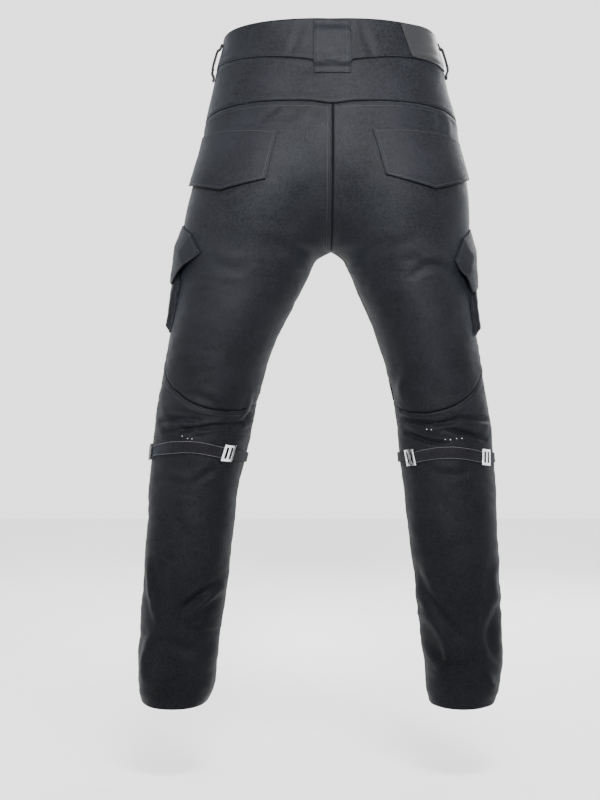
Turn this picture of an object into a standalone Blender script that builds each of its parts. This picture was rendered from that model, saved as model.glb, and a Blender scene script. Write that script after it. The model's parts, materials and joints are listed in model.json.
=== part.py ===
"""Motorcycle trousers, worn and hollow: cloth walls over a general standing figure, seen best from behind.

Millimetres inside the functions, metres in the meshes. +Z is up, +Y is the back, +X is the wearer's left.
The origin is the middle of the waist opening. A drop is a distance below it, and an angle runs round a leg:
0 at the outer side, 90 at the back, 180 at the inseam, -90 at the front.
"""

import math

import bmesh
import bpy
import numpy as np

MM = 0.001
LEFT, RIGHT = 1, -1
BACK, FRONT = 1, -1

WALL = 1.6
SEAM_GAP = 0.3
COLUMNS = {BACK: 10, FRONT: 8}

# The girth of the trousers: each row is a level section, with its edges measured from the centre plane.
# Above the crotch the inner edges are past the centre, because both legs' ovals run into one.
SECTION_COLUMNS = ("drop", "left_out", "left_in", "right_in", "right_out", "back", "front", "squareness")
SECTIONS = (
    (-40, 157, -152, -157, 152, 110, -106, 2.35),
    (-20, 160, -155, -160, 155, 113, -108, 2.35),
    (0, 163, -160, -163, 160, 115, -110, 2.35),
    (30, 171, -168, -171, 168, 120, -113, 2.30),
    (60, 177, -160, -163, 174, 126, -115, 2.25),
    (100, 186, -138, -138, 185, 133, -116, 2.20),
    (150, 194, -100, -98, 192, 139, -116, 2.20),
    (200, 206, -55, -53, 202, 139, -113, 2.15),
    (250, 218, -16, -19, 206, 131, -110, 2.10),
    (300, 223, 17, 13, 205, 117, -107, 2.10),
    (350, 229, 42, 36, 208, 106, -104, 2.05),
    (400, 237, 67, 58, 214, 98, -101, 2.05),
    (450, 246, 91, 76, 222, 89, -97, 2.00),
    (500, 255, 105, 90, 229, 80, -92, 2.00),
    (550, 263, 117, 98, 239, 72, -88, 2.00),
    (600, 269, 127, 103, 243, 67, -81, 2.00),
    (650, 272, 140, 109, 246, 71, -70, 2.05),
    (700, 274, 144, 114, 247, 77, -62, 2.05),
    (750, 277, 150, 120, 249, 80, -55, 2.05),
    (800, 280, 156, 126, 251, 79, -49, 2.05),
    (850, 284, 164, 132, 253, 76, -46, 2.05),
    (900, 287, 169, 138, 253, 75, -46, 2.10),
    (950, 286, 176, 143, 249, 74, -48, 2.15),
    (975, 281, 187, 148, 241, 73, -47, 2.15),
)

# How softly the two legs' ovals run into each other, growing from the waistband down to the crotch
BLEND_FROM, BLEND_TO, BLEND = 40, 230, 62

# The seam lines and the rows of the cloth between them. Each row of the table is a line round one leg, given by its
# drop at the side seam, halfway round the back, at the centre back or inseam, halfway round the front, and at the
# centre front or inseam, with the number of rows down to the next line.
LEVEL_COLUMNS = ("side", "back_mid", "back_end", "front_mid", "front_end", "rows")
LEVELS = {
    "top edge": (-17, -29, -30, -13, -10, 3),
    "waist seam": (33, 24, 38, 32, 33, 4),
    "yoke seam": (114, 91, 96, 104, 100, 11),
    "crotch": (296, 306, 312, 304, 312, 5),
    "fork": (350, 353, 346, 352, 346, 5),
    "knee seam": (455, 528, 524, 490, 524, 9),
    "knee": (616, 620, 622, 616, 622, 4),
    "shin seam": (700, 704, 706, 694, 706, 6),
    "calf": (862, 866, 864, 860, 864, 7),
    "hem": (967, 972, 967, 962, 967, 0),
}
SEAT_CURVE_CENTRE_DROP = 205

# The largest folds. Each is a soft ridge (depth above 0) or trough (below 0) round part of a leg.
# angle and drop are its middle, reach the degrees to either end, slant its fall from one end to the other.
FOLD_COLUMNS = ("leg", "angle", "drop", "reach", "width", "depth", "slant")
FOLDS = (
    (LEFT, 75, 508, 60, 10, -3.0, 30),
    (LEFT, 85, 548, 80, 8, -3.5, -4),
    (LEFT, 85, 555, 85, 6, 3.5, -8),
    (LEFT, 100, 564, 90, 7, -6.0, -18),
    (RIGHT, 75, 332, 36, 9, -3.0, 0),
    (RIGHT, 95, 505, 70, 10, -2.5, -22),
    (RIGHT, 85, 551, 85, 7, -4.0, 0),
    (RIGHT, 85, 561, 80, 6, 3.5, -10),
    (RIGHT, 62, 571, 48, 7, -5.5, -25),
    (RIGHT, 122, 576, 42, 7, -4.5, -28),
    (LEFT, -80, 560, 70, 14, 3.0, 0),
    (RIGHT, -80, 560, 70, 14, 3.0, 0),
    (LEFT, 112, 808, 48, 13, -4.5, -62),
    (LEFT, 120, 846, 50, 13, -3.5, 16),
    (LEFT, 30, 800, 40, 16, 2.5, 90),
    (LEFT, 5, 895, 55, 15, 2.5, 60),
    (LEFT, 130, 905, 60, 14, 3.0, -30),
    (RIGHT, 120, 812, 48, 18, -4.5, -140),
    (RIGHT, 118, 874, 45, 14, 4.0, -90),
    (RIGHT, 40, 858, 45, 14, -3.5, 40),
    (RIGHT, 5, 800, 50, 14, 1.5, 20),
    (RIGHT, 0, 905, 55, 14, 2.5, -40),
    (LEFT, -90, 850, 60, 16, -3.0, 14),
    (RIGHT, -90, 850, 60, 16, -3.0, -14),
)

# A pocket flap's or pouch's corners, as angles round its leg and drops, starting with its sewn top edge
OUTLINE_COLUMNS = ("angle", "drop")
BACK_FLAPS = {
    LEFT: ((73, 135), (48, 129), (9, 133), (9, 205), (55, 219), (82, 204)),
    RIGHT: ((82, 134), (60, 130), (13, 143), (13, 196), (60, 217), (89, 198)),
}
CARGO_FLAPS = {
    LEFT: ((-62, 256), (10, 262), (35, 278), (51, 306), (18, 350), (-62, 325)),
    RIGHT: ((-62, 262), (10, 266), (35, 284), (52, 317), (36, 363), (-62, 334)),
}
CARGO_POUCHES = {
    LEFT: ((-57, 298), (14, 298), (26, 345), (12, 420), (-57, 420)),
    RIGHT: ((-57, 302), (16, 302), (30, 345), (30, 425), (-57, 425)),
}
POUCH_DEPTH, POUCH_SIDE = 8.2, 8

# The strap behind each knee, along its leg: the elastic lies between two sliders, each with a sewn tab behind it.
STRAP_COLUMNS = ("outer_tab", "outer_slider", "elastic_from", "elastic_to", "inner_slider", "inner_tab", "drop", "rise")
STRAPS = {
    LEFT: (-12, 13, 18, 122, 127, 184, 598, 9),
    RIGHT: (8, 43, 48, 135, 140, 186, 605, 8),
}
STRAP_WIDTH, TAB_WIDTH = 17, 15
STRAP_LIFT, STRAP_THICK = 0.6, 1.6
SLIDER_SIZE, SLIDER_BAR, SLIDER_THICK = (19, 24), 3.6, 2.2

# Belt loops: the side, angle and width of each, its top and bottom drops, and how far it stands off for the belt
LOOP_COLUMNS = ("name", "side", "angle", "width", "top", "bottom", "stand_off")
BELT_LOOPS = (
    ("belt_loop_side_left", LEFT, 4, 13, -10, 46, 8.8),
    ("belt_loop_side_right", RIGHT, 3, 13, -11, 42, 8.8),
    ("belt_loop_front_left", LEFT, -62, 13, -5, 46, 9.6),
    ("belt_loop_front_right", RIGHT, -62, 13, -5, 46, 9.6),
)
LOOP_THICK = 2.0
BACK_LOOP_HALF_WIDTH, BACK_LOOP_TOP, BACK_LOOP_BOTTOM, BACK_LOOP_STAND_OFF = 27, -28, 51, 7.6

CLOTH, ELASTIC, LEATHER, STEEL = "cloth", "elastic", "leather", "steel"
MATERIAL_COLUMNS = ("colour", "roughness", "metallic")
MATERIALS = {
    CLOTH: ((0.024, 0.025, 0.029), 0.75, 0.0),
    ELASTIC: ((0.012, 0.012, 0.013), 0.85, 0.0),
    LEATHER: ((0.050, 0.050, 0.054), 0.45, 0.0),
    STEEL: ((0.62, 0.63, 0.65), 0.30, 1.0),
}


SECTION_DROPS = np.array([row[0] for row in SECTIONS], float)
SECTION_VALUES = {name: np.array([row[i] for row in SECTIONS], float) for i, name in enumerate(SECTION_COLUMNS)}
SECTION_SLOPES = {name: np.gradient(values, SECTION_DROPS) for name, values in SECTION_VALUES.items()}


def smooth_column(name, drop):
    """A column of the girth table at any drop, on a smooth curve through its rows."""
    drop = np.clip(np.asarray(drop, float), SECTION_DROPS[0], SECTION_DROPS[-1])
    i = np.clip(np.searchsorted(SECTION_DROPS, drop) - 1, 0, len(SECTION_DROPS) - 2)
    span = SECTION_DROPS[i + 1] - SECTION_DROPS[i]
    t = (drop - SECTION_DROPS[i]) / span
    values, slopes = SECTION_VALUES[name], SECTION_SLOPES[name]
    start = (1 + 2 * t) * (1 - t) ** 2 * values[i] + t * (1 - t) ** 2 * slopes[i] * span
    end = t * t * (3 - 2 * t) * values[i + 1] - t * t * (1 - t) * slopes[i + 1] * span
    return start + end


def spine(side, drop):
    """The middle of a leg's oval at a drop, measured from the centre plane towards its side, and its half sizes."""
    name = "left" if side == LEFT else "right"
    out, inner = smooth_column(name + "_out", drop), smooth_column(name + "_in", drop)
    back, front = smooth_column("back", drop), smooth_column("front", drop)
    return (out + inner) / 2, (back + front) / 2, (out - inner) / 2, (back - front) / 2


def off_oval(side, points):
    """Roughly how far points are outside one leg's oval."""
    drop = -points[..., 2]
    middle_x, middle_y, half_width, half_depth = spine(side, drop)
    power = smooth_column("squareness", drop)
    across = np.abs(side * points[..., 0] - middle_x) / half_width
    along = np.abs(points[..., 1] - middle_y) / half_depth
    return ((across**power + along**power) ** (1 / power) - 1) * np.sqrt(half_width * half_depth)


def off_body(points):
    """Roughly how far points are outside the smooth figure that both legs' ovals make together."""
    left, right = off_oval(LEFT, points), off_oval(RIGHT, points)
    soft = np.clip((-points[..., 2] - BLEND_FROM) / (BLEND_TO - BLEND_FROM), 1e-4, 1) * BLEND
    share = np.clip(0.5 + 0.5 * (right - left) / soft, 0, 1)
    return right * (1 - share) + left * share - soft * share * (1 - share)


def reach_skin(origins, targets):
    """Where each ray from an origin through its target first leaves the figure."""
    origins, targets = np.broadcast_arrays(np.asarray(origins, float), np.asarray(targets, float))
    way = targets - origins
    steps = np.linspace(0, 2.2, 89)[1:]
    outside = off_body(origins + steps.reshape([-1] + [1] * way.ndim) * way) > 0
    first = np.argmax(outside, axis=0)
    low = np.where(first > 0, steps[first - 1], 0.0)
    high = steps[first]
    for _ in range(16):
        middle = (low + high) / 2
        out = off_body(origins + middle[..., None] * way) > 0
        high = np.where(out, middle, high)
        low = np.where(out, low, middle)
    return origins + high[..., None] * way


def outward(points):
    """The figure's outward unit normals at points on it."""
    step = 0.5
    slope = np.stack(
        [off_body(points + step * axis) - off_body(points - step * axis) for axis in np.eye(3)], axis=-1
    )
    return slope / np.linalg.norm(slope, axis=-1, keepdims=True)


def spine_point(side, drop):
    middle_x, middle_y, _, _ = spine(side, drop)
    return np.stack(np.broadcast_arrays(side * middle_x, middle_y, -np.asarray(drop, float)), axis=-1)


def round_leg(side, angle, drop):
    """The figure's point at an angle round a leg and a drop."""
    origin = spine_point(side, drop)
    turn = np.radians(angle)
    way = np.stack(np.broadcast_arrays(side * np.cos(turn), np.sin(turn), 0 * origin[..., 2]), axis=-1)
    return reach_skin(origin, origin + 150 * way)


def fold_height(side, points):
    """How far the folds move the cloth out at points on the figure."""
    drop = -points[..., 2]
    middle_x, middle_y, _, _ = spine(side, drop)
    angle = np.degrees(np.arctan2(points[..., 1] - middle_y, side * points[..., 0] - middle_x))
    height = np.zeros_like(drop)
    for leg, mid_angle, mid_drop, reach, width, depth, slant in FOLDS:
        if leg != side:
            continue
        away = ((angle - mid_angle + 180) % 360 - 180) / reach
        down = (drop - mid_drop - slant * away / 2) / width
        height += depth * np.exp(-(down**2)) * np.clip(1 - away**2, 0, 1) ** 1.5
    return height


def skin(side, angle, drop, lift=0.0):
    """The cloth's outer point at an angle and a drop, moved out by lift. The angle may pass 180."""
    points = round_leg(side, angle, drop)
    return points + outward(points) * (fold_height(side, points) + lift)[..., None]


def level_steps(first, last):
    """The row positions from one seam line to another, counted in lines of the table."""
    names = list(LEVELS)
    start, end = names.index(first), names.index(last)
    steps = [i + j / LEVELS[names[i]][-1] for i in range(start, end) for j in range(LEVELS[names[i]][-1])]
    return [*steps, float(end)]


def level_drop(column, step):
    """A column of the seam lines' table between two of its lines."""
    rows = list(LEVELS.values())
    at = LEVEL_COLUMNS.index(column)
    i = min(int(step), len(rows) - 2)
    t = step - i
    if column.endswith("_end") and i == CROTCH:
        t = t * t
    return rows[i][at] * (1 - t) + rows[i + 1][at] * t


YOKE = list(LEVELS).index("yoke seam")
CROTCH = list(LEVELS).index("crotch")
SEAT_CURVE_CENTRE = np.array([0.0, 0.0, -SEAT_CURVE_CENTRE_DROP])


def centre_point(half, drop):
    """The figure's point on the centre plane, at the back or front, at a drop."""
    origin = np.array([0.0, 0.0, -drop])
    return reach_skin(origin, origin + [0, 150 * half, 0])


def row_end(side, half, step):
    """Where a row of cloth ends: on the centre seam, on the seat curve under the body, or on the inseam."""
    column = "back_end" if half == BACK else "front_end"
    if step <= YOKE:
        return centre_point(half, level_drop(column, step))
    if step <= CROTCH:
        start = centre_point(half, level_drop(column, YOKE)) - SEAT_CURVE_CENTRE
        first = math.atan2(-start[2], half * start[1])
        turn = first + (math.pi / 2 - first) * (step - YOKE) / (CROTCH - YOKE)
        way = np.array([0.0, half * math.cos(turn), -math.sin(turn)])
        return reach_skin(SEAT_CURVE_CENTRE, SEAT_CURVE_CENTRE + 150 * way)
    return round_leg(side, 180.0, level_drop(column, step))


def row_of_cloth(side, half, step, shares):
    """The figure's points along a row, at shares of the way from the side seam to its end."""
    end = row_end(side, half, step)
    start = round_leg(side, 0.0, level_drop("side", step))
    mid_drop = level_drop("back_mid" if half == BACK else "front_mid", step)
    origin = spine_point(side, -(start[2] + end[2]) / 2)
    ways = [start - origin, end - origin]
    angles = [math.atan2(half * way[1], side * way[0]) for way in ways]
    if angles[1] < 0:
        angles[1] += 2 * math.pi
    reaches = [math.hypot(way[0], way[1]) for way in ways]
    turn = angles[0] + (angles[1] - angles[0]) * shares
    reach = reaches[0] + (reaches[1] - reaches[0]) * shares
    lagrange = ((1 - shares) * (1 - 2 * shares), 4 * shares * (1 - shares), shares * (2 * shares - 1))
    height = lagrange[0] * start[2] - lagrange[1] * mid_drop + lagrange[2] * end[2]
    target = np.stack(
        [origin[0] + side * reach * np.cos(turn), origin[1] + half * reach * np.sin(turn), height], axis=-1
    )
    points = reach_skin(origin, target)
    points[0], points[-1] = start, end
    return points


def cloth_grid(side, half, first, last):
    """The figure's points over one panel: rows down from one seam line to another, columns in from the side seam."""
    shares = np.linspace(0, 1, COLUMNS[half] + 1)
    return np.array([row_of_cloth(side, half, step, shares) for step in level_steps(first, last)])


def folded(side, grid):
    return grid + outward(grid) * fold_height(side, grid)[..., None]


def pulled_in(grid, gap):
    """The grid with its four edges drawn in by a seam's half gap, towards the points beside them."""
    grid = grid.copy()
    for edge, beside in ((0, 1), (-1, -2)):
        for turned in (grid, grid.swapaxes(0, 1)):
            way = turned[beside] - turned[edge]
            turned[edge] += gap * way / np.linalg.norm(way, axis=-1, keepdims=True)
    return grid


def triangles(rows, columns):
    """The corners of a grid's triangles, as row and column pairs."""
    for i in range(rows - 1):
        for j in range(columns - 1):
            yield (i, j), (i, j + 1), (i + 1, j + 1)
            yield (i, j), (i + 1, j + 1), (i + 1, j)


def panel(name, grid, folds):
    """One cut panel of cloth: a closed wall between its outer points and the same points moved in."""
    outer = pulled_in(folds, SEAM_GAP / 2)
    inner = outer - outward(grid) * WALL
    rows, columns = outer.shape[:2]
    faces = [[i * columns + j for i, j in corners] for corners in triangles(rows, columns)]
    return closed_wall(name, outer.reshape(-1, 3), inner.reshape(-1, 3), faces, CLOTH)


def closed_wall(name, outer, inner, faces, material):
    """A closed solid of two like layers of faces, with faces between their rims."""
    mesh = bmesh.new()
    layers = [[mesh.verts.new(point * MM) for point in points] for points in (outer, inner)]
    for layer in layers:
        for face in faces:
            mesh.faces.new([layer[i] for i in face])
    sides = [(face[k], face[(k + 1) % len(face)]) for face in faces for k in range(len(face))]
    shared = {frozenset(side) for side in sides if side[::-1] in sides}
    for a, b in [side for side in sides if frozenset(side) not in shared]:
        mesh.faces.new((layers[0][a], layers[0][b], layers[1][b], layers[1][a]))
    bmesh.ops.recalc_face_normals(mesh, faces=mesh.faces)
    return add_object(name, mesh, material)


def whole_skin(grids):
    """All the cloth's outer faces as one mesh, in millimetres."""
    mesh = bmesh.new()
    for points in grids:
        made = [[mesh.verts.new(point) for point in row] for row in points]
        for corners in triangles(*points.shape[:2]):
            mesh.faces.new([made[i][j] for i, j in corners])
    bmesh.ops.remove_doubles(mesh, verts=mesh.verts, dist=0.01)
    return mesh


def at_angle(side, *corners):
    return [round_leg(side, angle, drop) for angle, drop in corners]


def at_width(half, *corners):
    """The figure's points straight out from the centre plane's sides, at widths along X and drops."""
    starts = np.array([[x, 0.0, -drop] for x, drop in corners])
    return list(reach_skin(starts, starts + [0, 150 * half, 0]))


def edge_planes(corners):
    """A plane for each edge of an outline on the figure, through both its corners and square to the cloth."""
    middle = np.mean(corners, axis=0)
    planes = []
    for start, end in zip(corners, corners[1:] + corners[:1]):
        out = outward(np.array([start, end])).mean(axis=0)
        across = np.cross(end - start, out)
        across /= np.linalg.norm(across)
        planes.append((start, across if across @ (middle - start) < 0 else -across))
    return planes


def cut_piece(corners, rows=0, bend=None):
    """The faces of the whole skin inside an outline, with extra cuts along its first edge."""
    mesh = SKIN.copy()
    middle = np.mean(corners, axis=0)
    near = 1.3 * max(np.linalg.norm(corner - middle) for corner in corners) + 30
    far = [vert for vert in mesh.verts if np.linalg.norm(np.array(vert.co) - middle) > near]
    bmesh.ops.delete(mesh, geom=far, context="VERTS")
    if bend:
        for vert in mesh.verts:
            vert.co.z -= bend(vert.co)
    planes = edge_planes(corners)
    for point, across in planes:
        everything = mesh.verts[:] + mesh.edges[:] + mesh.faces[:]
        bmesh.ops.bisect_plane(
            mesh, geom=everything, dist=1e-5, plane_co=point, plane_no=across, clear_outer=True
        )
    point, across = planes[0]
    depth = max((point - np.array(vert.co)) @ across for vert in mesh.verts)
    for i in range(1, rows):
        everything = mesh.verts[:] + mesh.edges[:] + mesh.faces[:]
        bmesh.ops.bisect_plane(
            mesh, geom=everything, dist=1e-5, plane_co=point - across * depth * i / rows, plane_no=across
        )
    return mesh, planes, depth


def laid_piece(name, corners, thickness, lift, material, rows=0, bend=None, rims=((), ())):
    """A piece laid on the cloth: its outline's faces moved out, by a lift that its place on the piece decides.

    lift takes the share of the way down from the first edge and the distances from all the edges.
    """
    mesh, planes, depth = cut_piece(corners, rows, bend)
    for rim in rims[1]:
        for point, across in [planes[i] for i in rims[0]]:
            everything = mesh.verts[:] + mesh.edges[:] + mesh.faces[:]
            bmesh.ops.bisect_plane(
                mesh, geom=everything, dist=1e-5, plane_co=point - across * rim, plane_no=across
            )
    bmesh.ops.remove_doubles(mesh, verts=mesh.verts, dist=0.35)
    bmesh.ops.triangulate(mesh, faces=mesh.faces)
    bmesh.ops.recalc_face_normals(mesh, faces=mesh.faces)
    mesh.verts.index_update()
    flat = np.array([vert.co for vert in mesh.verts])
    faces = [[vert.index for vert in face.verts] for face in mesh.faces]
    away = np.array([(point - flat) @ across for point, across in planes])
    lifts = lift(np.clip(away[0] / depth, 0, 1), away)[:, None]
    if bend:
        for vert in mesh.verts:
            vert.co.z += bend(vert.co)
    points = np.array([vert.co for vert in mesh.verts])
    mesh.free()
    out = outward(points)
    return closed_wall(name, points + out * (lifts + thickness), points + out * lifts, faces, material)


def lying(lift):
    return lambda down, away: lift + 0 * down


def standing_off(sewn, free, edges, run):
    """A flap's lift: sewn down along some edges and standing off within a run from them."""
    def lift(down, away):
        share = np.clip((np.min(away[list(edges)], axis=0) - 1.5) / run, 0, 1)
        return sewn + (free - sewn) * share
    return lift


def pouched(sewn, depth, side):
    """A pouch's lift: sewn down along its sides and bottom, open along its first edge."""
    def lift(down, away):
        share = np.clip((np.min(away[1:], axis=0) - 2.5) / side, 0, 1)
        return sewn + (depth - sewn) * share * share * (3 - 2 * share)
    return lift


def bridging(sewn, stand_off):
    """A loop's lift: sewn down at both ends and standing off between them."""
    def lift(down, away):
        share = np.clip((np.minimum(down, 1 - down) - 0.09) / 0.16, 0, 1)
        return sewn + (stand_off - sewn) * share * share * (3 - 2 * share)
    return lift


def plate_with_windows(name, side, angle, drop, turn):
    """A strap slider: a steel plate curved like the leg, with two windows that the strap passes through."""
    length, width = SLIDER_SIZE
    bar = SLIDER_BAR
    along = [0, bar, length / 2 - bar / 2, length / 2 + bar / 2, length - bar, length]
    across = [0, bar, width - bar, width]
    reach = abs(spine(side, drop)[2])
    layers = []
    for lift in (STRAP_LIFT + STRAP_THICK + 0.3 + SLIDER_THICK, STRAP_LIFT + STRAP_THICK + 0.3):
        points = []
        for u in along:
            for v in across:
                x, y = u - length / 2, v - width / 2
                x, y = x * math.cos(turn) - y * math.sin(turn), x * math.sin(turn) + y * math.cos(turn)
                points.append(skin(side, angle + math.degrees(x / reach), drop + y, lift))
        layers.append(np.array(points))
    windows = ((1, 1), (3, 1))
    cells = [(i, j) for i in range(5) for j in range(3) if (i, j) not in windows]
    faces = [[4 * i + j, 4 * i + 4 + j, 4 * i + 5 + j, 4 * i + 1 + j] for i, j in cells]
    return closed_wall(name, *layers, faces, STEEL)


def button(name, place, lift, radius, thickness):
    """A low domed button standing square to the cloth."""
    out = outward(place)
    right = np.cross(out, [0, 0, 1])
    right /= np.linalg.norm(right)
    up = np.cross(right, out)
    mesh = bmesh.new()
    made = []
    for reach, share in ((radius, 0.0), (radius, 0.6), (radius * 0.9, 0.9), (radius * 0.45, 1.0)):
        turns = [2 * math.pi * i / 20 for i in range(20)]
        middle = place + out * (lift + thickness * share)
        made.append([mesh.verts.new((middle + reach * (math.cos(t) * right + math.sin(t) * up)) * MM) for t in turns])
    for low, high in zip(made, made[1:]):
        for i in range(20):
            k = (i + 1) % 20
            mesh.faces.new((low[i], low[k], high[k], high[i]))
    mesh.faces.new(made[0])
    mesh.faces.new(made[-1])
    bmesh.ops.recalc_face_normals(mesh, faces=mesh.faces)
    return add_object(name, mesh, STEEL)


def add_object(name, mesh, kind):
    data = bpy.data.meshes.new(name)
    mesh.to_mesh(data)
    mesh.free()
    data.shade_smooth()
    made = bpy.data.objects.new(name, data)
    trousers.objects.link(made)
    colour, roughness, metallic = MATERIALS[kind]
    material = bpy.data.materials.new(f"{name}_{kind}")
    material.use_nodes = True
    shader = material.node_tree.nodes["Principled BSDF"]
    shader.inputs["Base Color"].default_value = (*colour, 1)
    shader.inputs["Roughness"].default_value = roughness
    shader.inputs["Metallic"].default_value = metallic
    data.materials.append(material)
    return made


for old in list(bpy.data.objects):
    bpy.data.objects.remove(old, do_unlink=True)
trousers = bpy.data.collections.new("motorcycle_trousers")
bpy.context.scene.collection.children.link(trousers)
WORDS = {LEFT: "left", RIGHT: "right"}

# The cut panels, each between two seam lines
folded_grids = []
for name, first, last in (
    ("waistband_back", "top edge", "waist seam"),
    ("back_yoke", "waist seam", "yoke seam"),
):
    left, right = (cloth_grid(side, BACK, first, last) for side in (LEFT, RIGHT))
    across = np.concatenate([left, right[:, -2::-1]], axis=1)
    panel(name, across, across)
    folded_grids.append(across)
for side, word in WORDS.items():
    for name, half, first, last in (
        ("waistband_front", FRONT, "top edge", "waist seam"),
        ("seat_and_thigh", BACK, "yoke seam", "knee seam"),
        ("calf_back", BACK, "knee seam", "hem"),
        ("front_thigh", FRONT, "waist seam", "knee seam"),
        ("front_knee", FRONT, "knee seam", "shin seam"),
        ("front_shin", FRONT, "shin seam", "hem"),
    ):
        grid = cloth_grid(side, half, first, last)
        folds = folded(side, grid)
        panel(f"{name}_{word}", grid, folds)
        folded_grids.append(folds)
SKIN = whole_skin(folded_grids)

# Belt loops, sewn down at both ends: a wide one over the centre back, and narrow ones at the sides and front
wide = BACK_LOOP_HALF_WIDTH
corners = at_width(
    BACK, (wide, BACK_LOOP_TOP), (-wide, BACK_LOOP_TOP), (-wide, BACK_LOOP_BOTTOM), (wide, BACK_LOOP_BOTTOM)
)
laid_piece("belt_loop_back", corners, LOOP_THICK, bridging(0.6, BACK_LOOP_STAND_OFF), CLOTH, rows=10)
for name, side, angle, width, top, bottom, stand_off in BELT_LOOPS:
    spread = math.degrees(width / 2 / 118)
    corners = at_angle(side, (angle - spread, top), (angle + spread, top), (angle + spread, bottom),
                       (angle - spread, bottom))
    laid_piece(name, corners, LOOP_THICK, bridging(0.6, stand_off), CLOTH, rows=10)

# The leather patch on the waistband, right of the centre back
corners = at_angle(RIGHT, (42, -27), (10, -19), (10, 34), (38, 22))
laid_piece("leather_patch", corners, 1.8, lying(0.6), LEATHER)

# Pocket flaps and pouches
for side, word in WORDS.items():
    corners = at_angle(side, *BACK_FLAPS[side])
    laid_piece(f"back_pocket_flap_{word}", corners, 2.2, standing_off(0.7, 3.8, (0, 1), 70), CLOTH)
    corners = at_angle(side, *CARGO_POUCHES[side])
    laid_piece(f"cargo_pouch_{word}", corners, WALL, pouched(0.7, POUCH_DEPTH, POUCH_SIDE), CLOTH,
               rims=(range(1, len(corners)), (3, 3 + POUCH_SIDE / 2, 3 + POUCH_SIDE)))
    corners = at_angle(side, *CARGO_FLAPS[side])
    lift = standing_off(0.7, POUCH_DEPTH + WALL + 0.7, (0, 1, 2), 30)
    laid_piece(f"cargo_flap_{word}", corners, 1.8, lift, CLOTH, rims=((0, 1, 2), (2, 16, 32)))

# The adjusting straps behind the knees
for side, word in WORDS.items():
    strap = dict(zip(STRAP_COLUMNS, STRAPS[side]))
    middle = (strap["elastic_from"] + strap["elastic_to"]) / 2
    reach = (strap["elastic_to"] - strap["elastic_from"]) / 2 + 4

    def arch(point, side=side, middle=middle, reach=reach, rise=strap["rise"]):
        middle_x, middle_y, _, _ = spine(side, -point.z)
        angle = math.degrees(math.atan2(point.y - middle_y, side * point.x - middle_x))
        return rise * (1 - ((angle - middle) / reach) ** 2)

    low, high = strap["drop"] + STRAP_WIDTH / 2, strap["drop"] - STRAP_WIDTH / 2
    start, end = strap["elastic_from"], strap["elastic_to"]
    corners = at_angle(side, (start, high), (end, high), (end, low), (start, low))
    laid_piece(f"knee_elastic_{word}", corners, STRAP_THICK, lying(STRAP_LIFT), ELASTIC, bend=arch)
    low, high = strap["drop"] + 1 + TAB_WIDTH / 2, strap["drop"] + 1 - TAB_WIDTH / 2
    for place, near, far, fall in (
        ("outer", strap["outer_slider"] - 4, strap["outer_tab"], 5),
        ("inner", strap["inner_slider"] + 4, strap["inner_tab"], 9),
    ):
        corners = at_angle(side, (near, high), (far, high + fall), (far, low + fall), (near, low))
        laid_piece(f"knee_tab_{place}_{word}", corners, STRAP_THICK, lying(STRAP_LIFT), CLOTH)
        turn = 0.1 if place == "inner" else -0.1
        plate_with_windows(f"strap_slider_{place}_{word}", side, strap[f"{place}_slider"], strap["drop"], turn)

# The front closing: the fly's placket, and the waistband's overlap with its button
corners = at_width(FRONT, (1, 38), (40, 38), (38, 170), (22, 198), (1, 206))
laid_piece("fly_placket", corners, 1.5, lying(0.6), CLOTH)
corners = at_width(FRONT, (-26, -8), (16, -8), (16, 31), (-26, 31))
laid_piece("waistband_overlap", corners, 2.0, lying(0.6), CLOTH)
button("waist_button", at_width(FRONT, (-10, 11))[0], 2.9, 8.5, 4.0)
SKIN.free()
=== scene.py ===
"""Looks of the motorcycle trousers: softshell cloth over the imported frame, with seams, stitching and hardware."""

import json
import math

import bmesh
import bpy
import numpy as np
from mathutils import Matrix, Vector, noise
from mathutils.bvhtree import BVHTree
from mathutils.kdtree import KDTree

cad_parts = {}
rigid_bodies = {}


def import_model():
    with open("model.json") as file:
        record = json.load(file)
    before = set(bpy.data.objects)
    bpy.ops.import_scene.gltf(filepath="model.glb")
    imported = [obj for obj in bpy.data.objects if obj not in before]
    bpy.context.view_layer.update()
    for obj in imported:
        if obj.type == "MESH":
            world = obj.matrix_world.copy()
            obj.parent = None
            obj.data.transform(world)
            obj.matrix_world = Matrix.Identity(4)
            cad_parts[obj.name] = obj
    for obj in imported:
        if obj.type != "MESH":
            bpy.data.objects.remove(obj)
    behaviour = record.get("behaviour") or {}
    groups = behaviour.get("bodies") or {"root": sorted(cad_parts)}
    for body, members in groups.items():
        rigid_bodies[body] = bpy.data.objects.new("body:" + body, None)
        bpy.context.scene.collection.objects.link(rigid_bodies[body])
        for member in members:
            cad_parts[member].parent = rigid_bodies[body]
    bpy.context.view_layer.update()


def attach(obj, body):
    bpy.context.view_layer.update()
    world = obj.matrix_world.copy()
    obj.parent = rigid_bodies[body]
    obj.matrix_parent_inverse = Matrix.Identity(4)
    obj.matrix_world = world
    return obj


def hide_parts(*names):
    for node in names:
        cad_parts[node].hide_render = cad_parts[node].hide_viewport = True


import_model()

# The cut panels. On the real trousers these are pieces of woven softshell, sewn edge to edge.
# Their outer faces are joined into one smooth surface, so that folds run on over the seams.
PANEL_COLUMNS = ("node", "hangs from")
PANELS = {
    "waistband_back": (),
    "waistband_front_left": (),
    "waistband_front_right": (),
    "back_yoke": ("waistband_back",),
    "seat_and_thigh_left": ("back_yoke",),
    "seat_and_thigh_right": ("back_yoke",),
    "calf_back_left": ("seat_and_thigh_left",),
    "calf_back_right": ("seat_and_thigh_right",),
    "front_thigh_left": ("waistband_front_left",),
    "front_thigh_right": ("waistband_front_right",),
    "front_knee_left": ("front_thigh_left",),
    "front_knee_right": ("front_thigh_right",),
    "front_shin_left": ("front_knee_left",),
    "front_shin_right": ("front_knee_right",),
}
WALL = 0.0014
SHARP_RIM = math.radians(76)


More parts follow.
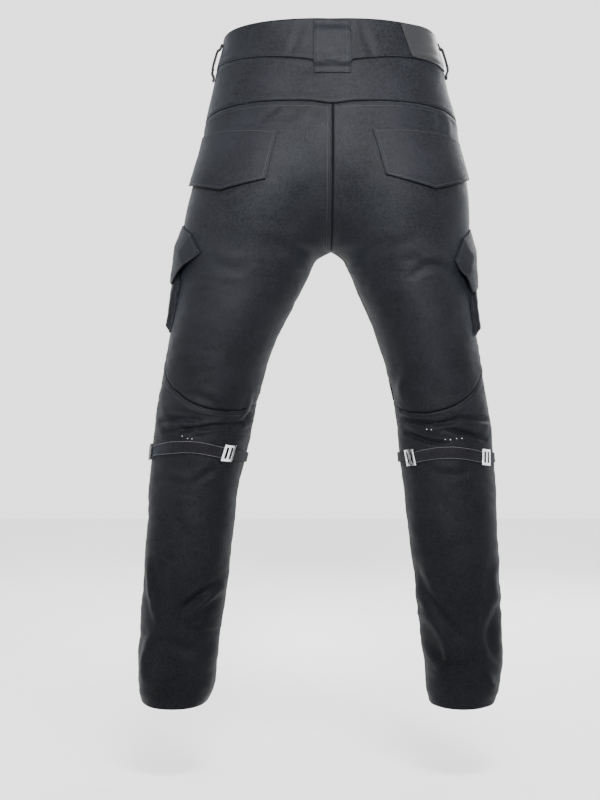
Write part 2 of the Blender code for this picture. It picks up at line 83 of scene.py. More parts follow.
def largest_island(mesh):
    """Keeps the largest joined patch of faces, which on a split wall is its outer side."""
    left = set(mesh.faces)
    islands = []
    while left:
        island, edge_of = {left.pop()}, []
        edge_of.extend(island)
        while edge_of:
            face = edge_of.pop()
            for edge in face.edges:
                for other in edge.link_faces:
                    if other in left:
                        left.remove(other)
                        island.add(other)
                        edge_of.append(other)
        islands.append(island)
    kept = max(islands, key=lambda faces: sum(face.calc_area() for face in faces))
    bmesh.ops.delete(mesh, geom=[face for face in mesh.faces if face not in kept], context="FACES")


cloth = bmesh.new()
for index, name in enumerate(PANELS):
    side = bmesh.new()
    side.from_mesh(bpy.data.objects[name].data)
    bmesh.ops.remove_doubles(side, verts=side.verts, dist=1e-5)
    rim = [edge for edge in side.edges if edge.is_manifold and edge.calc_face_angle() > SHARP_RIM]
    bmesh.ops.split_edges(side, edges=rim)
    largest_island(side)
    for face in side.faces:
        face.material_index = index
    patch = bpy.data.meshes.new(name)
    side.to_mesh(patch)
    side.free()
    cloth.from_mesh(patch)
bmesh.ops.remove_doubles(cloth, verts=cloth.verts, dist=0.0006)
bmesh.ops.join_triangles(
    cloth, faces=cloth.faces, angle_face_threshold=math.radians(60), angle_shape_threshold=math.radians(80),
    cmp_materials=True,
)

for edge in cloth.edges:
    edge.seam = len({face.material_index for face in edge.link_faces}) > 1
control = bpy.data.meshes.new("cloth")
cloth.to_mesh(control)
cloth.free()
control.uv_layers.new(name="pattern")
for name in PANELS:
    control.materials.append(None)
whole = bpy.data.objects.new("cloth", control)
bpy.context.scene.collection.objects.link(whole)

# Each panel is laid flat as on the cutter's pattern, in metres, with its grain up the leg. This gives the
# weave its run over the body, and the cuts their sizes.
bpy.context.view_layer.objects.active = whole
whole.select_set(True)
bpy.ops.object.mode_set(mode="EDIT")
bpy.ops.mesh.select_all(action="SELECT")
bpy.ops.uv.unwrap(method="ANGLE_BASED", margin=0.01)
bpy.ops.object.mode_set(mode="OBJECT")
pattern = np.empty(len(control.loops) * 2)
control.uv_layers["pattern"].data.foreach_get("uv", pattern)
pattern = pattern.reshape(-1, 2)
cuts = {}
for index, name in enumerate(PANELS):
    faces = [face for face in control.polygons if face.material_index == index]
    loops = np.array([loop for face in faces for loop in face.loop_indices])
    heights = np.array([control.vertices[control.loops[loop].vertex_index].co.z for loop in loops])
    up = np.linalg.lstsq(np.column_stack((pattern[loops], np.ones(len(loops)))), heights, rcond=None)[0][:2]
    up /= np.linalg.norm(up)
    area = sum(face.area for face in faces)
    laid_area = 0.0
    for face in faces:
        ring = pattern[list(face.loop_indices)]
        laid_area += abs(np.sum(ring[:, 0] * np.roll(ring[:, 1], -1) - ring[:, 1] * np.roll(ring[:, 0], -1))) / 2
    turned = pattern[loops] @ np.array(((up[1], up[0]), (-up[0], up[1])))
    pattern[loops] = turned * math.sqrt(area / laid_area)
    width, length = np.ptp(pattern[loops], axis=0)
    cuts[name] = (float(width), float(length), min(area, 0.99 * float(width * length)))
control.uv_layers["pattern"].data.foreach_set("uv", pattern.ravel())

# The surface is smoothed with subdivision, and pressed back out onto the panels' own points.
smooth = whole.modifiers.new("smooth", "SUBSURF")
smooth.levels = smooth.render_levels = 1
wanted = np.empty(len(control.vertices) * 3)
control.vertices.foreach_get("co", wanted)
pressed = wanted.copy()
for _ in range(3):
    bpy.context.view_layer.update()
    found = whole.evaluated_get(bpy.context.evaluated_depsgraph_get()).data
    reached = np.empty(len(found.vertices) * 3)
    found.vertices.foreach_get("co", reached)
    pressed += 0.9 * (wanted - reached[: len(wanted)])
    control.vertices.foreach_set("co", pressed)
    control.update()
smooth.levels = smooth.render_levels = 3
bpy.context.view_layer.update()
fine = bpy.data.meshes.new_from_object(whole.evaluated_get(bpy.context.evaluated_depsgraph_get()))
bpy.data.objects.remove(whole)

# Creases of the worn cloth. Each runs in an arc through three places seen from behind, in millimetres
# from the waist: a trough where its depth is below 0, with the cloth pushed up beside it.
UPPER_STRENGTH, LEG_STRENGTH = 1.0, 2.8
CREASE_COLUMNS = ("start", "middle", "end", "width", "depth")
CREASES = (
    ((46, 21), (52, -2), (64, -25), 5, -1.0),
    ((-44, 21), (-50, -2), (-60, -27), 5, -1.0),
    ((-150, -99), (-156, -117), (-151, -136), 4, -1.0),
    ((-165, -103), (-171, -119), (-170, -140), 4, 0.9),
    ((74, -96), (92, -110), (111, -126), 5, -0.8),
    ((32, -102), (46, -115), (64, -130), 6, 0.6),
    ((-120, -339), (-145, -326), (-181, -335), 6, -1.6),
    ((-104, -316), (-124, -318), (-144, -320), 7, -0.8),
    ((171, -320), (151, -329), (125, -332), 7, -0.8),
    ((15, -321), (46, -304), (90, -298), 9, -0.9),
    ((-5, -321), (-34, -307), (-75, -298), 9, -0.9),
    ((252, -552), (225, -548), (192, -551), 3.2, -1.6),
    ((245, -567), (192, -561), (134, -555), 3.2, -2.0),
    ((141, -557), (122, -545), (112, -513), 3.5, -1.6),
    ((243, -510), (192, -516), (147, -541), 5, -1.2),
    ((236, -526), (198, -535), (160, -549), 4.5, 0.9),
    ((-102, -546), (-143, -555), (-182, -549), 3.2, -1.8),
    ((-181, -549), (-205, -547), (-232, -551), 3.2, -1.5),
    ((-164, -564), (-193, -568), (-226, -579), 3, -2.0),
    ((-114, -568), (-139, -580), (-168, -584), 3, -1.7),
    ((-98, -479), (-92, -502), (-96, -526), 5, -1.2),
    ((171, -622), (182, -628), (196, -637), 5, -1.2),
    ((244, -622), (222, -631), (198, -629), 6, 0.8),
    ((-145, -622), (-167, -630), (-199, -625), 6, -0.9),
    ((269, -756), (266, -800), (253, -847), 5, 1.4),
    ((260, -859), (274, -896), (278, -933), 6, 1.5),
    ((162, -798), (190, -818), (212, -845), 5, 1.5),
    ((211, -844), (190, -851), (168, -853), 5, 1.3),
    ((170, -790), (195, -808), (221, -826), 5, -1.8),
    ((239, -870), (213, -884), (184, -882), 7, -1.3),
    ((227, -753), (233, -782), (224, -811), 8, 0.9),
    ((-124, -760), (-143, -811), (-190, -865), 6, -1.7),
    ((-133, -836), (-168, -877), (-153, -920), 6, 1.6),
    ((-246, -757), (-240, -786), (-245, -816), 6, 1.0),
    ((-248, -822), (-233, -866), (-247, -903), 6, -1.4),
    ((-226, -918), (-233, -935), (-241, -947), 6, 1.2),
    ((-143, -869), (-163, -901), (-184, -910), 6, -1.2),
    ((-201, -811), (-210, -843), (-201, -877), 8, 0.9),
    ((250, -665), (227, -695), (206, -731), 9, -0.6),
    ((-157, -665), (-179, -695), (-189, -731), 9, -0.6),
)
LEG_MIDDLES = (
    (0, 2, 2), (100, 24, 8), (200, 75, 13), (250, 97, 10), (300, 115, 5), (400, 144, -2), (500, 170, -6),
    (600, 186, -7), (700, 194, 8), (800, 203, 15), (967, 214, 13),
)


def crease_profile(share):
    """A crease's cross-section: its own trough or ridge, and the cloth pushed the other way beside it."""
    return np.exp(-(share**2)) - 0.35 * np.exp(-(((np.abs(share) - 2.1) / 0.9) ** 2))


count = len(fine.vertices)
points = np.empty(count * 3)
fine.vertices.foreach_get("co", points)
points = points.reshape(-1, 3)
normals = np.empty(count * 3)
fine.vertices.foreach_get("normal", normals)
normals = normals.reshape(-1, 3)
drops, middles_x, middles_y = (np.array(column, float) / 1000 for column in zip(*LEG_MIDDLES))
middle_x = np.interp(-points[:, 2], drops, middles_x)
middle_y = np.interp(-points[:, 2], drops, middles_y)
behind = np.clip((points[:, 1] - middle_y) / 0.012 + 0.6, 0, 1)
raised = np.zeros(count)
seen = points[:, [0, 2]] * 1000
for start, middle, end, width, depth in CREASES:
    start, middle, end = (np.array(place, float) for place in (start, middle, end))
    turn = 2 * middle - (start + end) / 2
    steps = np.linspace(0, 1, 33)[:, None]
    arc = (1 - steps) ** 2 * start + 2 * steps * (1 - steps) * turn + steps**2 * end
    near = np.flatnonzero(
        np.all(seen > arc.min(axis=0) - 4 * width, axis=1) & np.all(seen < arc.max(axis=0) + 4 * width, axis=1)
    )
    away = np.linalg.norm(seen[near, None] - arc[None], axis=2)
    nearest = away.argmin(axis=1)
    fade = np.sin(math.pi * np.clip(0.06 + 0.88 * nearest / 32, 0, 1)) ** 0.7
    strength = LEG_STRENGTH if middle[1] < -200 else UPPER_STRENGTH
    raised[near] += strength * behind[near] * depth * fade * crease_profile(away[np.arange(len(near)), nearest] / width) / 1000
for i, point in enumerate(points):
    low = -point[2] > 0.33
    swell = noise.noise(Vector(point) * 21) * (0.0017 if low else 0.0007)
    wrinkle = noise.noise(Vector((point[0] * 38, point[1] * 38, point[2] * 95))) * (0.0008 if low else 0.0003)
    raised[i] += swell + wrinkle
points += normals * raised[:, None]

# Every sewn seam is a narrow groove, with the cloth puffed by its turned-in edges on either side.
edge_faces = {}
for face in fine.polygons:
    for key in face.edge_keys:
        edge_faces.setdefault(key, []).append(face.material_index)
seams = {}
for (a, b), panels in edge_faces.items():
    if len(panels) == 2 and panels[0] != panels[1]:
        seams.setdefault(tuple(sorted(panels)), []).append((a, b))
sewn = sorted({vertex for edges in seams.values() for edge in edges for vertex in edge})
tree = KDTree(len(sewn))
for vertex in sewn:
    tree.insert(points[vertex], vertex)
tree.balance()
away = np.array([tree.find(point)[2] for point in points]) * 1000
points += normals * (0.0006 * np.exp(-(((away - 6) / 3.5) ** 2)) - 0.0007 * np.exp(-((away / 1.5) ** 2)))[:, None]
fine.vertices.foreach_set("co", points.ravel())
fine.update()
# Painted shade: a mask that darkens the cloth's colour within about 1.4 mm of each seam, where the groove lies in
# shade.
painted_seam_shade = fine.attributes.new("painted_seam_shade", "FLOAT", "POINT")
painted_seam_shade.data.foreach_set("value", np.exp(-((away / 1.4) ** 2)))
facing = np.empty(count * 3)
fine.vertices.foreach_get("normal", facing)
facing = facing.reshape(-1, 3)
surface = BVHTree.FromPolygons(points.tolist(), [list(face.vertices) for face in fine.polygons])
cloth_points = KDTree(count)
for vertex, point in enumerate(points):
    cloth_points.insert(point, vertex)
cloth_points.balance()


def on_cloth(place):
    """The nearest place on the trousers' outer face, and the way out of the cloth there."""
    spot = surface.find_nearest(place)[0]
    around = [vertex for _, vertex, _ in cloth_points.find_n(spot, 48)]
    return spot, Vector(facing[around].mean(axis=0)).normalized()


# Materials. The softshell is a dense plain weave of black and dark grey yarn with a faint blue-grey sheen.
def woven(name, dark, light, pitch, roughness, sheen, depth, ribbed=False):
    """A woven cloth: colour that varies by yarn and by patch, with painted shade darkening it beside the seams, and
    its threads raised.
    """
    material = bpy.data.materials.new(name)
    material.use_nodes = True
    nodes, links = material.node_tree.nodes, material.node_tree.links
    shader = nodes["Principled BSDF"]
    shader.inputs["Roughness"].default_value = roughness
    shader.inputs["Specular IOR Level"].default_value = 0.035
    shader.inputs["Sheen Weight"].default_value = sheen
    shader.inputs["Sheen Roughness"].default_value = 0.45
    shader.inputs["Sheen Tint"].default_value = (0.62, 0.72, 0.95, 1)
    pattern = nodes.new("ShaderNodeUVMap")
    pattern.uv_map = "pattern"
    waves = []
    for direction in ("X", "Y"):
        wave = nodes.new("ShaderNodeTexWave")
        wave.wave_type, wave.bands_direction, wave.wave_profile = "BANDS", direction, "SIN"
        wave.inputs["Scale"].default_value = 0.314159 / pitch / (0.45 if ribbed and direction == "Y" else 1)
        wave.inputs["Distortion"].default_value = 0.6
        wave.inputs["Detail"].default_value = 1.0
        wave.inputs["Detail Scale"].default_value = 0.4
        links.new(pattern.outputs["UV"], wave.inputs["Vector"])
        waves.append(wave)
    threads = nodes.new("ShaderNodeMath")
    threads.operation = "MULTIPLY"
    links.new(waves[0].outputs["Fac"], threads.inputs[0])
    links.new(waves[1].outputs["Fac"], threads.inputs[1])
    place = nodes.new("ShaderNodeTexCoord")
    yarn, patches = nodes.new("ShaderNodeTexNoise"), nodes.new("ShaderNodeTexNoise")
    yarn.inputs["Scale"].default_value = 430
    yarn.inputs["Detail"].default_value = 3
    patches.inputs["Scale"].default_value = 14
    patches.inputs["Detail"].default_value = 4
    links.new(place.outputs["Object"], yarn.inputs["Vector"])
    links.new(place.outputs["Object"], patches.inputs["Vector"])
    mixed = nodes.new("ShaderNodeMath")
    mixed.operation = "MULTIPLY_ADD"
    mixed.inputs[1].default_value = 0.45
    links.new(patches.outputs["Fac"], mixed.inputs[0])
    links.new(yarn.outputs["Fac"], mixed.inputs[2])
    ramp = nodes.new("ShaderNodeMapRange")
    ramp.inputs["From Min"].default_value = 0.52
    ramp.inputs["From Max"].default_value = 0.92
    links.new(mixed.outputs["Value"], ramp.inputs["Value"])
    worn = nodes.new("ShaderNodeMath")
    worn.operation = "MULTIPLY_ADD"
    worn.inputs[1].default_value = 0.5
    links.new(threads.outputs["Value"], worn.inputs[0])
    links.new(ramp.outputs["Result"], worn.inputs[2])
    colour = nodes.new("ShaderNodeMix")
    colour.data_type = "RGBA"
    colour.inputs["A"].default_value = (*dark, 1)
    colour.inputs["B"].default_value = (*light, 1)
    links.new(worn.outputs["Value"], colour.inputs["Factor"])
    # Painted shade: beside the seams the colour is mixed towards 0.6 of the dark yarn colour.
    seam = nodes.new("ShaderNodeAttribute")
    seam.attribute_name = "painted_seam_shade"
    painted_shade_mix = nodes.new("ShaderNodeMix")
    painted_shade_mix.data_type = "RGBA"
    painted_shade_mix.inputs["B"].default_value = (*(0.6 * value for value in dark), 1)
    links.new(seam.outputs["Fac"], painted_shade_mix.inputs["Factor"])
    links.new(colour.outputs["Result"], painted_shade_mix.inputs["A"])
    links.new(painted_shade_mix.outputs["Result"], shader.inputs["Base Color"])
    grain = nodes.new("ShaderNodeBump")
    grain.inputs["Strength"].default_value = 0.6
    grain.inputs["Distance"].default_value = depth
    links.new(threads.outputs["Value"], grain.inputs["Height"])
    handle = nodes.new("ShaderNodeBump")
    handle.inputs["Strength"].default_value = 0.35
    handle.inputs["Distance"].default_value = 0.0006
    links.new(patches.outputs["Fac"], handle.inputs["Height"])
    links.new(grain.outputs["Normal"], handle.inputs["Normal"])
    links.new(handle.outputs["Normal"], shader.inputs["Normal"])
    return material


softshell = woven("softshell", (0.0012, 0.0013, 0.0016), (0.0058, 0.0062, 0.0076), 0.0006, 0.5, 0.012, 0.00012)
strap_web = woven("strap_web", (0.003, 0.003, 0.0032), (0.011, 0.011, 0.0115), 0.0012, 0.65, 0.03, 0.0003)
elastic = woven("elastic", (0.0022, 0.0022, 0.0026), (0.0075, 0.0075, 0.0085), 0.0012, 0.8, 0.05, 0.0004, ribbed=True)


def plain(name, colour, roughness, metallic, grain_scale, grain_depth, spread=0.2, shine=0.5):
    """A smooth material with a fine grain and a little variation of colour."""
    material = bpy.data.materials.new(name)
    material.use_nodes = True
    nodes, links = material.node_tree.nodes, material.node_tree.links
    shader = nodes["Principled BSDF"]
    shader.inputs["Metallic"].default_value = metallic
    shader.inputs["Specular IOR Level"].default_value = shine
    place = nodes.new("ShaderNodeTexCoord")
    grain = nodes.new("ShaderNodeTexNoise")
    grain.inputs["Scale"].default_value = grain_scale
    grain.inputs["Detail"].default_value = 5
    links.new(place.outputs["Object"], grain.inputs["Vector"])
    tone = nodes.new("ShaderNodeMix")
    tone.data_type = "RGBA"
    tone.inputs["A"].default_value = (*(value * (1 - spread) for value in colour), 1)
    tone.inputs["B"].default_value = (*(value * (1 + spread) for value in colour), 1)
    links.new(grain.outputs["Fac"], tone.inputs["Factor"])
    links.new(tone.outputs["Result"], shader.inputs["Base Color"])
    gloss = nodes.new("ShaderNodeMapRange")
    gloss.inputs["To Min"].default_value = roughness * 0.8
    gloss.inputs["To Max"].default_value = roughness * 1.2
    links.new(grain.outputs["Fac"], gloss.inputs["Value"])
    links.new(gloss.outputs["Result"], shader.inputs["Roughness"])
    bump = nodes.new("ShaderNodeBump")
    bump.inputs["Strength"].default_value = 0.5
    bump.inputs["Distance"].default_value = grain_depth
    links.new(grain.outputs["Fac"], bump.inputs["Height"])
    links.new(bump.outputs["Normal"], shader.inputs["Normal"])
    return material


leather = plain("patch_leather", (0.0045, 0.0047, 0.0056), 0.42, 0, 420, 0.0002, 0.3, 0.2)
blackened = plain("slider_blackened", (0.02, 0.02, 0.021), 0.4, 1, 260, 0.00004, 0.1)
steel = plain("slider_steel", (0.72, 0.73, 0.75), 0.22, 1, 260, 0.00004, 0.05)
black_thread = plain("black_thread", (0.0035, 0.0035, 0.0042), 0.5, 0, 900, 0.0001)
grey_thread = plain("grey_thread", (0.085, 0.085, 0.09), 0.6, 0, 900, 0.0001)
white_thread = plain("white_thread", (0.60, 0.60, 0.60), 0.6, 0, 900, 0.0001)


def add_piece(name, mesh, material, slot, *nodes):
    """A finished piece of the trousers, which rides with them and stands for its CAD nodes."""
    piece = bpy.data.objects.new(name, mesh)
    bpy.context.scene.collection.objects.link(piece)
    mesh.materials.clear()
    mesh.materials.append(material)
    mesh.shade_smooth()
    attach(piece, "root")
    if nodes:
        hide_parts(*nodes)
    return piece


def thicken(piece, thickness, edge=0.0, segments=2):
    """Gives a sheet its thickness, inwards, and turned edges."""
    wall = piece.modifiers.new("wall", "SOLIDIFY")
    wall.thickness, wall.offset = thickness, -1
    if edge:
        turned = piece.modifiers.new("turned edge", "BEVEL")
        turned.width, turned.segments = edge, segments
        turned.limit_method, turned.angle_limit = "ANGLE", math.radians(60)


# The panels again, each as its own sheet of cloth with a thickness.
for index, (name, above) in enumerate(PANELS.items()):
    sheet = bmesh.new()
    sheet.from_mesh(fine)
    others = [face for face in sheet.faces if face.material_index != index]
    bmesh.ops.delete(sheet, geom=others, context="FACES")
    for face in sheet.faces:
        face.material_index = 0
    mesh = bpy.data.meshes.new(f"cloth_{name}")
    sheet.to_mesh(mesh)
    sheet.free()
    piece = add_piece(f"cloth_{name}", mesh, softshell, "softshell", name)
    thicken(piece, WALL)
    width, length, area = cuts[name]

# Rows of topstitching beside the seams. Each row lies on the first panel, so far in millimetres from its
# seam with the second one.
ROW_COLUMNS = ("panel", "other panel", "distances")
STITCHED_SEAMS = (
    ("waistband_back", "back_yoke", (1.8,)),
    ("waistband_front_left", "front_thigh_left", (1.8,)),
    ("waistband_front_right", "front_thigh_right", (1.8,)),
    ("seat_and_thigh_left", "back_yoke", (1.8, 7.5)),
    ("seat_and_thigh_right", "back_yoke", (1.8, 7.5)),
    ("seat_and_thigh_left", "seat_and_thigh_right", (1.8, 7.5)),
    ("front_thigh_left", "front_thigh_right", (1.8,)),
    ("calf_back_left", "seat_and_thigh_left", (1.8, 7.5)),
    ("calf_back_right", "seat_and_thigh_right", (1.8, 7.5)),
    ("seat_and_thigh_left", "front_thigh_left", (1.8,)),
    ("seat_and_thigh_right", "front_thigh_right", (1.8,)),
    ("calf_back_left", "front_knee_left", (1.8,)),
    ("calf_back_right", "front_knee_right", (1.8,)),
    ("calf_back_left", "front_shin_left", (1.8,)),
    ("calf_back_right", "front_shin_right", (1.8,)),
    ("front_thigh_left", "front_knee_left", (1.8, 7.5)),
    ("front_thigh_right", "front_knee_right", (1.8, 7.5)),
    ("front_shin_left", "front_knee_left", (1.8, 7.5)),
    ("front_shin_right", "front_knee_right", (1.8, 7.5)),
)
STITCH_PITCH, STITCH_LENGTH, STITCH_WIDTH, STITCH_HEIGHT = 0.0032, 0.0025, 0.0005, 0.00045


def seam_runs(edges):
    """A seam's edges, joined end to end into runs of vertices."""
    beside = {}
    for a, b in edges:
        beside.setdefault(a, set()).add(b)
        beside.setdefault(b, set()).add(a)
    runs = []
    while beside:
        vertex = next((v for v in sorted(beside) if len(beside[v]) == 1), min(beside))
        run = [vertex]
        while beside.get(vertex):
            onward = min(beside[vertex])
            beside[vertex].discard(onward)
            beside[onward].discard(vertex)
            vertex = onward
            run.append(vertex)
        beside = {v: others for v, others in beside.items() if others}
        runs.append(run)
    return [run for run in runs if len(run) > 8]


def evenly(path, pitch):
    """The places at an even pitch along a path."""
    path = np.asarray(path, float)
    run = np.r_[0, np.cumsum(np.linalg.norm(np.diff(path, axis=0), axis=1))]
    marks = np.arange(pitch / 2, run[-1], pitch)
    return np.column_stack([np.interp(marks, run, axis) for axis in path.T])


def sew(threads, path, lift=0.0, pitch=STITCH_PITCH, length=STITCH_LENGTH, width=STITCH_WIDTH, out=None):
    """A row of stitches along a path on the cloth, added to the mesh of its thread."""
    spots = evenly(path, pitch)
    if len(spots) < 3:
        return
    along = np.gradient(spots, axis=0)
    row = bmesh.new()
    for spot, run in zip(spots, along):
        spot = Vector(spot)
        if out is None:
            spot, normal = on_cloth(spot)
        else:
            normal = Vector(out(spot))
        run = (Vector(run) - normal * normal.dot(Vector(run))).normalized()
        frame_of = Matrix((run, normal.cross(run), normal)).transposed().to_4x4()
        size = Matrix.Diagonal((length / 2, width / 2, STITCH_HEIGHT / 2, 1))
        matrix = Matrix.Translation(spot + normal * (lift + 0.00012)) @ frame_of @ size
        bmesh.ops.create_icosphere(row, subdivisions=1, radius=1, matrix=matrix)
    mesh = bpy.data.meshes.new("row")
    row.to_mesh(mesh)
    row.free()
    threads.from_mesh(mesh)
    bpy.data.meshes.remove(mesh)


def offset_path(run, panel, distance):
    """A seam's run of vertices, moved sideways over the cloth onto one of its panels."""
    path = evenly(points[run], 0.004)
    if len(path) < 5:
        return path
    path[1:-1] = (path[:-2] + 2 * path[1:-1] + path[2:]) / 4
    along = np.gradient(path, axis=0)
    index = list(PANELS).index(panel)
    sides = []
    for spot, step in zip(path, along):
        _, normal = on_cloth(Vector(spot))
        sides.append(normal.cross(Vector(step)).normalized())
    on_panel = sum(
        fine.polygons[surface.find_nearest(Vector(spot) + side * 0.005)[2]].material_index == index
        for spot, side in zip(path, sides)
    )
    turn = 1 if on_panel > len(path) / 2 else -1
    return [on_cloth(Vector(spot) + side * turn * distance)[0] for spot, side in zip(path, sides)]


threads = bmesh.new()
for panel, other, distances in STITCHED_SEAMS:
    order = list(PANELS)
    pair = tuple(sorted((order.index(panel), order.index(other))))
    for run in seam_runs(seams.get(pair, [])):
        for distance in distances:
            sew(threads, offset_path(run, panel, distance / 1000))
mesh = bpy.data.meshes.new("seam_stitches")
threads.to_mesh(mesh)
threads.free()
add_piece("seam_stitches", mesh, black_thread, "softshell")

# Pieces laid on the panels: each is cut to four edges, in millimetres from the waist, and follows the cloth
# under it, stood off by its own lift. Their edges are turned in and stitched a little way from the fold.
def edge_through(*places):
    """An edge that runs through places, as a function of the share of its length."""
    spots = np.array(places, float) / 1000
    run = np.r_[0, np.cumsum(np.linalg.norm(np.diff(spots, axis=0), axis=1))]
    return lambda share: np.column_stack([np.interp(np.asarray(share) * run[-1], run, axis) for axis in spots.T])


def on_edge(edge, steps=60):
    """Places along an edge, laid down on the cloth."""
    return np.array([on_cloth(Vector(place))[0] for place in edge(np.linspace(0, 1, steps))])


def from_edge(places, along):
    """How far in millimetres each place is from the places along an edge."""
    return np.linalg.norm(places[:, None] - along[None], axis=2).min(axis=1) * 1000


def softly(share):
    share = np.clip(share, 0, 1)
    return share * share * (3 - 2 * share)


def lay_piece(name, node, edges, lift, thickness, cells, held, material=softshell, slot="softshell", stitched=()):
    """A piece between its top, bottom, left and right edges, laid on the cloth and given its thickness."""
    top, bottom, left, right = (edge_through(*edge) for edge in edges)
    rims = [on_edge(edge) for edge in (top, bottom, left, right)]

    def spread(s, t):
        s, t = np.asarray(s, float), np.asarray(t, float)
        a, b = s[:, None], t[:, None]
        corners = (1 - b) * ((1 - a) * top([0]) + a * top([1])) + b * ((1 - a) * bottom([0]) + a * bottom([1]))
        flat = (1 - b) * top(s) + b * bottom(s) + (1 - a) * left(t) + a * right(t) - corners
        found = [on_cloth(Vector(place)) for place in flat]
        base = np.array([spot for spot, _ in found])
        out = np.array([normal for _, normal in found])
        away = [from_edge(base, rim) for rim in rims]
        return base + out * (lift(t, away) + thickness)[:, None] / 1000, out

    across, down = cells
    grid = bmesh.new()
    bmesh.ops.create_grid(grid, x_segments=across, y_segments=down, size=0.5)
    share_s = np.array([vertex.co.x + 0.5 for vertex in grid.verts])
    share_t = np.array([0.5 - vertex.co.y for vertex in grid.verts])
    outer, out = spread(share_s, share_t)
    width = np.linalg.norm(np.diff(spread(np.linspace(0, 1, 20), np.full(20, 0.5))[0], axis=0), axis=1).sum()
    length = np.linalg.norm(np.diff(spread(np.full(20, 0.5), np.linspace(0, 1, 20))[0], axis=0), axis=1).sum()
    layer = grid.loops.layers.uv.new("pattern")
    for face in grid.faces:
        for loop in face.loops:
            loop[layer].uv = ((loop.vert.co.x + 0.5) * width, (loop.vert.co.y + 0.5) * length)
    for vertex, place in zip(grid.verts, outer):
        vertex.co = place
    for _ in range(3):
        bmesh.ops.smooth_vert(grid, verts=[v for v in grid.verts if not v.is_boundary], factor=0.5)
    grid.normal_update()
    facing_out = sum(vertex.normal.dot(Vector(normal)) for vertex, normal in zip(grid.verts, out))
    if facing_out < 0:
        bmesh.ops.reverse_faces(grid, faces=grid.faces)
    area = sum(face.calc_area() for face in grid.faces)
    widest = max(width, *(np.linalg.norm(np.diff(spread(np.linspace(0, 1, 20), np.full(20, e))[0], axis=0),
                                         axis=1).sum() for e in (0, 1)))
    longest = max(length, *(np.linalg.norm(np.diff(spread(np.full(20, e), np.linspace(0, 1, 20))[0], axis=0),
                                           axis=1).sum() for e in (0, 1)))
    mesh = bpy.data.meshes.new(name)
    grid.to_mesh(mesh)
    grid.free()
    piece = add_piece(name, mesh, material, slot, node)
    thicken(piece, thickness / 1000, edge=0.0005)
    if held:
        under = {fine.polygons[surface.find_nearest(Vector(place))[2]].material_index for place in outer[::7]}
    for line in stitched:
        s, t = np.array(line, float).T
        spots, normals_there = spread(s, t)
        middle_out = KDTree(len(spots))
        for i, spot in enumerate(spots):
            middle_out.insert(spot, i)
        middle_out.balance()
        sew(laid_threads, spots, out=lambda spot: normals_there[middle_out.find(spot)[1]])
    return piece


def line(start, end, steps=24):
    """A line of shares across a piece, from one place on it to another."""
    return [tuple(np.array(start) + (np.array(end) - np.array(start)) * i / steps) for i in range(steps + 1)]


laid_threads = bmesh.new()
ROUND = (line((0.03, 0), (0.03, 0.96)), line((0.03, 0.96), (0.97, 0.96)), line((0.97, 0.96), (0.97, 0)))

# Back pocket flaps: two layers of softshell, sewn along the top and the outer edge, pointed at the bottom.
BACK_FLAPS = (
    ("left", ((78, 135, -135), (131, 115, -129), (189, 34, -133)), ((95, 138, -204), (159, 117, -219), (206, 33, -205))),
    ("right", ((-57, 138, -134), (-105, 127, -130), (-187, 44, -143)),
     ((-76, 139, -198), (-145, 122, -217), (-199, 42, -196))),
)
for word, top, bottom in BACK_FLAPS:
    lay_piece(
        f"pocket_flap_{word}", f"back_pocket_flap_{word}",
        (top, bottom, (top[0], bottom[0]), (top[-1], bottom[-1])),
        lambda t, away: 0.5 + 3.2 * np.clip((away[0] - 1.5) / 60, 0, 1) + 0.6 * softly((away[0] - 55) / 20),
        2.0, (56, 36), "hung", stitched=(line((0.02, 0.05), (0.98, 0.05)), *ROUND),
    )

# Cargo pouches and their flaps, on the outside of the thighs. A pouch is sewn down at its sides and bottom
# and open at the top; a flap is sewn along its top and its rear end.
CARGO = (
    ("left", ((180, -88, -298), (221, 30, -298)), ((209, -80, -420), (239, 15, -420)),
     ((221, 30, -298), (221, 44, -345), (239, 15, -420)),
     ((160, -96, -256), (218, 29, -262), (205, 72, -278)), ((178, -92, -325), (226, 30, -350), (190, 89, -306))),
    ("right", ((-168, -86, -302), (-203, 32, -302)), ((-191, -77, -425), (-211, 37, -425)),
     ((-203, 32, -302), (-200, 47, -345), (-211, 37, -425)),
     ((-153, -95, -262), (-205, 28, -266), (-191, 68, -284)),
     ((-166, -89, -334), (-198, 53, -363), (-177, 85, -317))),
)
for word, mouth, floor_edge, rear, flap_top, flap_bottom in CARGO:
    lay_piece(
        f"pouch_{word}", f"cargo_pouch_{word}", (mouth, floor_edge, (mouth[0], floor_edge[0]), rear),
        lambda t, away: 0.5 + 7.2 * softly((np.minimum(np.minimum(away[1], away[2]), away[3]) - 1) / 9),
        1.6, (48, 44), "laid", stitched=(line((0.04, 0.05), (0.04, 0.96)), line((0.96, 0.05), (0.96, 0.96))),
    )
    lay_piece(
        f"flap_{word}", f"cargo_flap_{word}",
        (flap_top, flap_bottom, (flap_top[0], flap_bottom[0]), (flap_top[-1], flap_bottom[-1])),
        lambda t, away: 0.6 + 9.8 * np.clip((np.minimum(away[0], away[3]) - 1.5) / 30, 0, 1),
        1.8, (60, 36), "hung", stitched=(line((0.02, 0.05), (0.98, 0.05)), *ROUND),
    )

